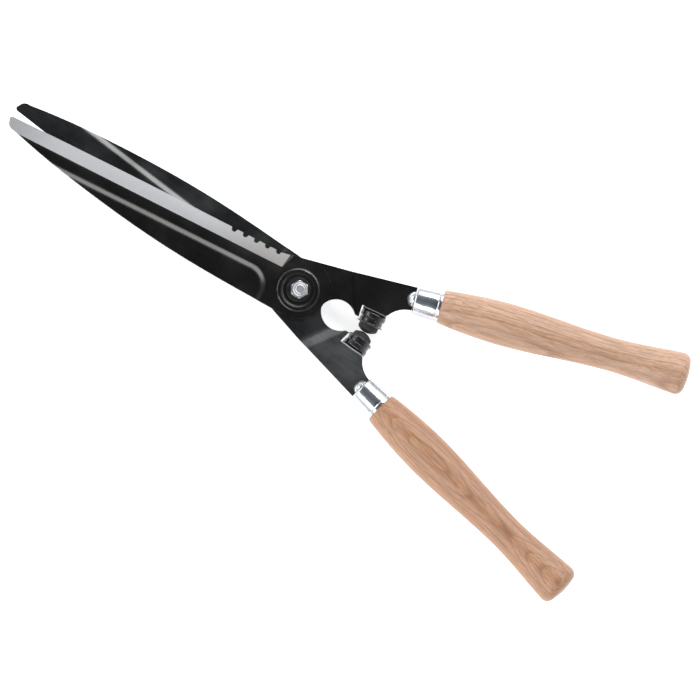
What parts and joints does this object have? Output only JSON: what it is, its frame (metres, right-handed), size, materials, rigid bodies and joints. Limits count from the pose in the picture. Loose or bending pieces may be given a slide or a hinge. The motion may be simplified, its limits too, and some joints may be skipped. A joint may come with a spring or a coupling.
{
  "type": "hedge shears",
  "caption": "Hand hedge shears: two pressed steel blades on a bolted pivot, with rubber buffers and turned beech handles.",
  "frame": {"origin": "on the pivot axis, midway between the two blades' inner faces", "axes": "+X along the closed shears to the blade tips, +Y to the spine side of the front (upper) blade, +Z along the pivot bolt towards its nut"},
  "size_m": [0.5704, 0.23, 0.0956],
  "materials": {
    "blade_steel": "black satin finish with a ground bright bevel",
    "zinc_steel": "bright zinc plate",
    "black_washer": "black satin finish",
    "nylon": "moulded",
    "ferrule_plate": "bright plated, drawn steel",
    "beech": "fine sanded, clear lacquer",
    "cup_enamel": "gloss black enamel",
    "buffer_rubber": "moulded matte",
    "zinc_rivet": "plated rivet"
  },
  "bodies": {
    "rear_arm": {"rear_blade": "blade_steel", "pivot_bolt": "zinc_steel", "pivot_washer": "black_washer", "pivot_nut": "zinc_steel", "nut_insert": "nylon", "rear_ferrule": "ferrule_plate", "rear_handle": "beech", "rear_buffer_cup": "cup_enamel", "rear_buffer_pad": "buffer_rubber", "rear_buffer_rivet": "zinc_rivet"},
    "front_arm": {"front_blade": "blade_steel", "front_ferrule": "ferrule_plate", "front_handle": "beech", "front_buffer_cup": "cup_enamel", "front_buffer_pad": "buffer_rubber", "front_buffer_rivet": "zinc_rivet"}
  },
  "joints": [
    {"name": "blade_pivot", "type": "hinge", "parent": "rear_arm", "child": "front_arm", "pos_m": [0, 0, 0], "axis": [0, 0, 1], "range_deg": [0, 50]}
  ]
}
